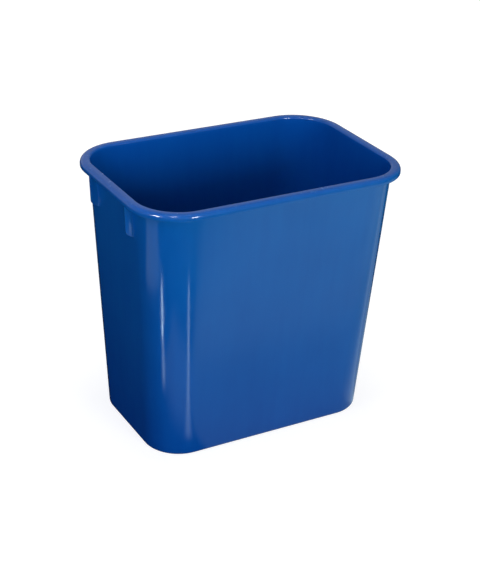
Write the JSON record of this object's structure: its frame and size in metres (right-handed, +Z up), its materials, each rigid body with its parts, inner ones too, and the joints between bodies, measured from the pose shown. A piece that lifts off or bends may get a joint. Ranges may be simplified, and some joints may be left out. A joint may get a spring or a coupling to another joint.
{
  "type": "wastebasket",
  "caption": "Open-top rectangular wastebasket with tapered walls, round corners, a turned-out rim and short stacking ribs under it.",
  "frame": {"origin": "middle of the foot, on the surface that the basket stands on", "axes": "+Z up, +X along the long side of the rim, +Y across the short side, towards the back"},
  "size_m": [0.39, 0.267, 0.364],
  "materials": {
    "blue_plastic": "smooth glossy moulded plastic, blue right through"
  },
  "bodies": {
    "root": {"tub": "blue_plastic"}
  },
  "joints": []
}
